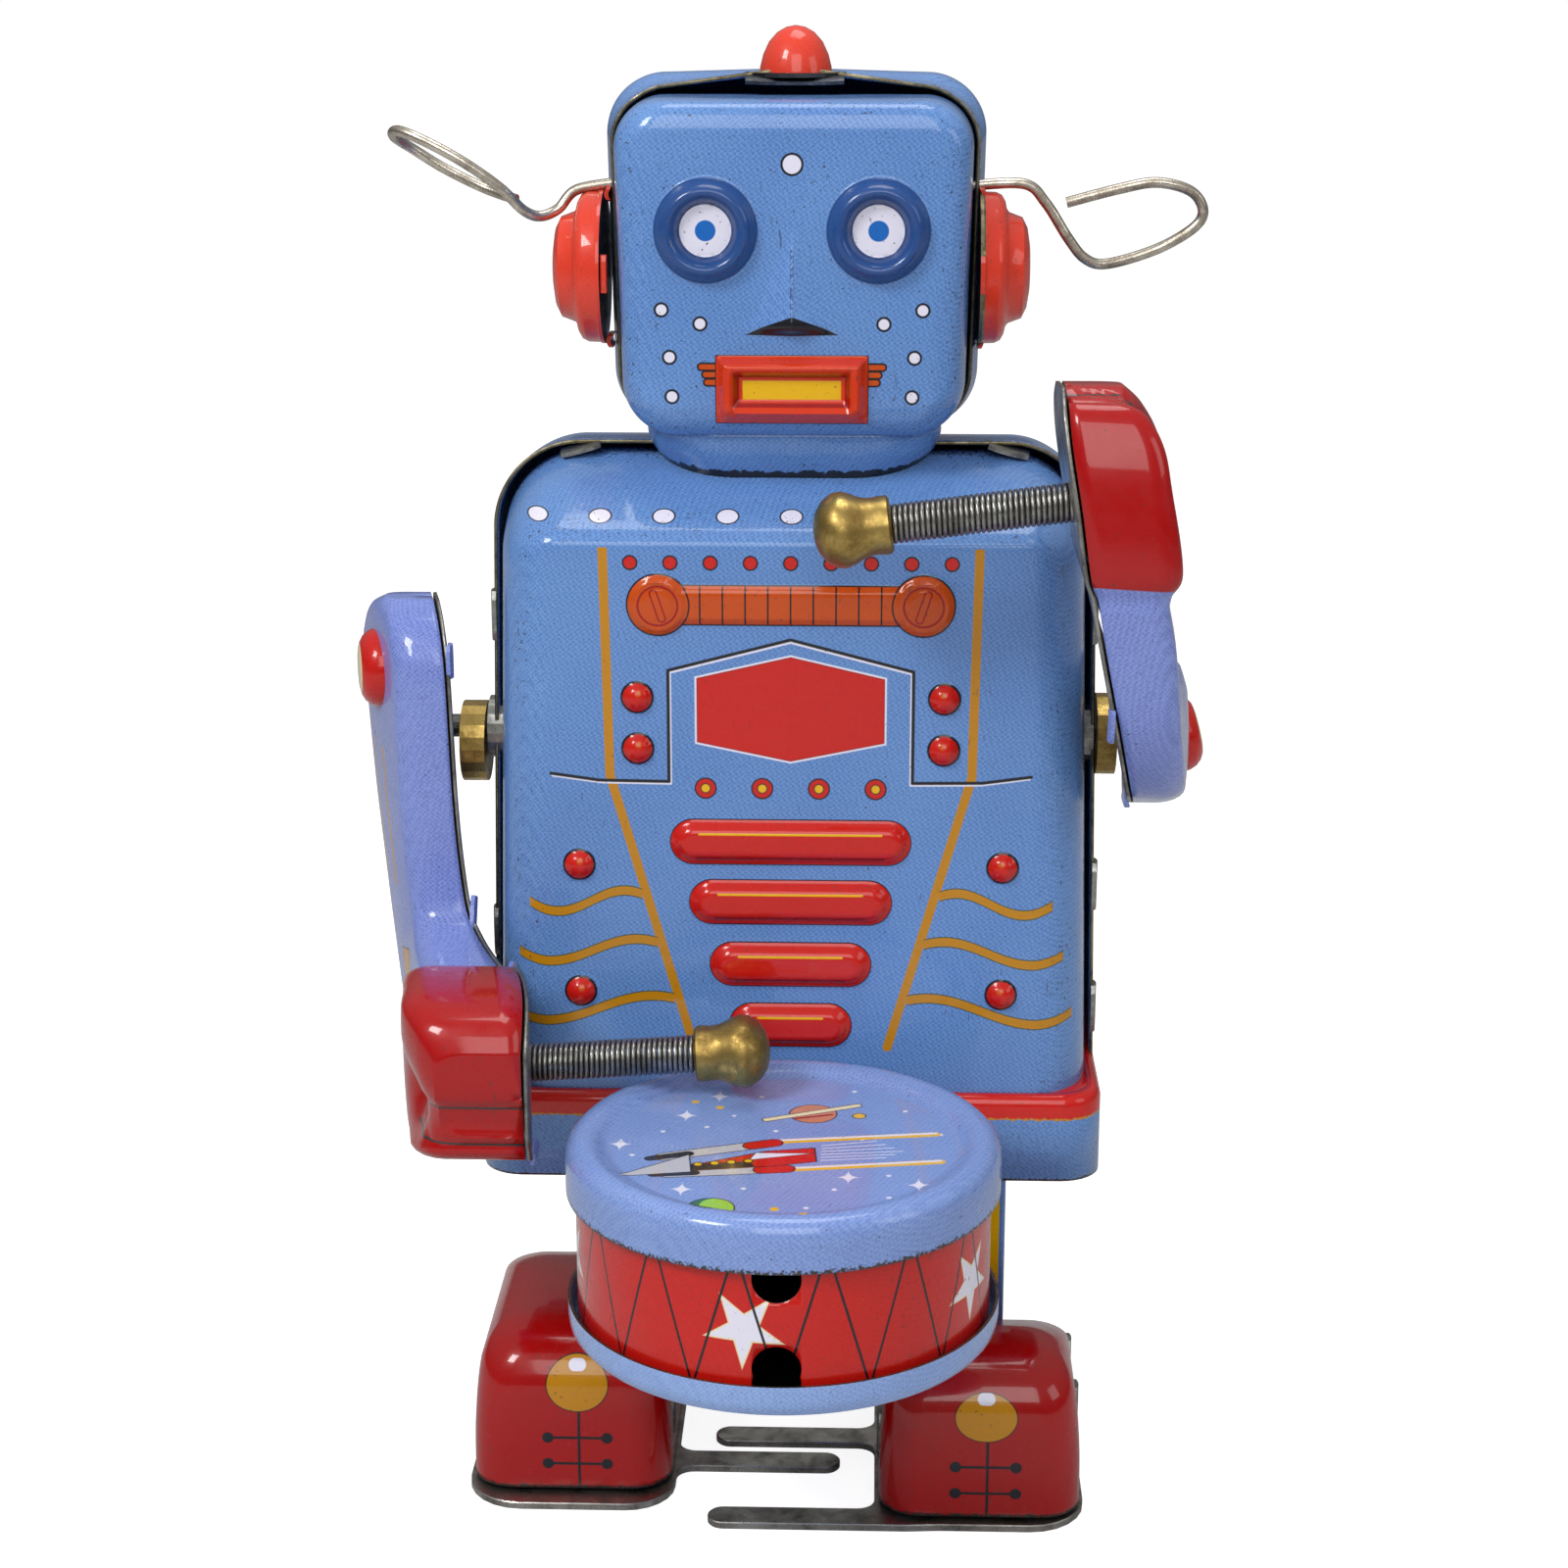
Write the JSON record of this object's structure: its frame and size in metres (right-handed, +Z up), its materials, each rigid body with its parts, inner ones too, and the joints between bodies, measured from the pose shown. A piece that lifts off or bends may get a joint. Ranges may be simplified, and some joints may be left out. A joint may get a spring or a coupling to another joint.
{
  "type": "tin wind-up robot",
  "caption": "Tin clockwork robot that walks and beats a drum held at its front, with jointed arms, sprung drumsticks, swinging legs and a winding key behind.",
  "frame": {"origin": "middle of the footprint box, on the surface that the soles stand on", "axes": "+Z up, the robot faces -Y, +X towards its own left hand"},
  "size_m": [0.1122, 0.107, 0.1784],
  "materials": {
    "blue_tin": "gloss printed tin",
    "red_tin": "gloss printed tin",
    "coral_tin": "gloss painted tin",
    "steel": "dull plated steel",
    "wire": "nickel plated wire",
    "brass": "turned brass",
    "dark_steel": "blued steel"
  },
  "bodies": {
    "body": {"body_front_shell": "blue_tin", "body_rear_shell": "blue_tin", "base_skirt": "blue_tin", "head_front_shell": "blue_tin", "head_rear_shell": "blue_tin", "neck_collar": "blue_tin", "drum_top_cap": "blue_tin", "drum_bottom_cap": "blue_tin", "drum_wall": "red_tin", "lamp_dome": "coral_tin", "ear_cap_left": "coral_tin", "ear_cap_right": "coral_tin", "drum_bracket": "steel", "arm_bush_left": "steel", "arm_bush_right": "steel", "hip_rod": "steel", "motor_plate_front": "steel", "motor_plate_rear": "steel", "aerial_left": "wire", "aerial_right": "wire", "motor_pillar_low_left": "brass", "motor_pillar_top_left": "brass", "motor_pillar_top_right": "brass", "lamp_clip": "dark_steel", "mainspring": "dark_steel"},
    "arm_left": {"arm_shell_left": "blue_tin", "arm_boss_left": "red_tin", "arm_plate_left": "steel", "arm_hub_left": "brass", "arm_spindle_left": "steel", "stick_spring_left": "steel", "stick_bead_left": "brass"},
    "arm_right": {"arm_shell_right": "blue_tin", "arm_boss_right": "red_tin", "arm_plate_right": "steel", "arm_hub_right": "brass", "arm_spindle_right": "steel", "stick_spring_right": "steel", "stick_bead_right": "brass"},
    "leg_left": {"leg_left": "blue_tin", "shoe_left": "red_tin", "sole_left": "steel"},
    "leg_right": {"leg_right": "blue_tin", "shoe_right": "red_tin", "sole_right": "steel"},
    "winding_axle": {"winding_arbor": "steel", "great_wheel": "brass", "winding_key": "steel"},
    "second_axle": {"second_arbor": "steel", "second_wheel": "brass"},
    "escape_axle": {"escape_arbor": "steel", "escape_wheel": "brass"},
    "pallet": {"governor_pallet": "steel"}
  },
  "joints": [
    {"name": "arm_left_swing", "type": "hinge", "parent": "body", "child": "arm_left", "pos_m": [0.0009, 0.0166, 0.093], "axis": [-1, 0, 0], "range_deg": [0, 90]},
    {"name": "arm_right_swing", "type": "hinge", "parent": "body", "child": "arm_right", "pos_m": [0.0009, 0.0166, 0.093], "axis": [-1, 0, 0], "range_deg": [-90, 0]},
    {"name": "leg_left_swing", "type": "hinge", "parent": "body", "child": "leg_left", "pos_m": [0.0009, 0.0166, 0.0465], "axis": [-1, 0, 0], "range_deg": [0, 5.7]},
    {"name": "leg_right_swing", "type": "hinge", "parent": "body", "child": "leg_right", "pos_m": [0.0009, 0.0166, 0.0465], "axis": [-1, 0, 0], "range_deg": [-5.7, 0]},
    {"name": "key_turn", "type": "hinge", "parent": "body", "child": "winding_axle", "pos_m": [0.0009, 0.0266, 0.074], "axis": [0, 1, 0], "continuous": true},
    {"name": "second_turn", "type": "hinge", "parent": "body", "child": "second_axle", "pos_m": [0.01151, 0.0266, 0.06339], "axis": [0, 1, 0], "continuous": true},
    {"name": "escape_turn", "type": "hinge", "parent": "body", "child": "escape_axle", "pos_m": [0.02103, 0.0266, 0.05789], "axis": [0, 1, 0], "continuous": true},
    {"name": "pallet_rock", "type": "hinge", "parent": "body", "child": "pallet", "pos_m": [0.02103, 0.0266, 0.06849], "axis": [0, 1, 0], "range_deg": [-6, 6]}
  ],
  "couplings": [
    {"joint": "arm_right_swing", "follows": "arm_left_swing", "ratio": -1},
    {"joint": "leg_right_swing", "follows": "leg_left_swing", "ratio": -1},
    {"joint": "second_turn", "follows": "key_turn", "ratio": -4},
    {"joint": "escape_turn", "follows": "key_turn", "ratio": 18}
  ]
}
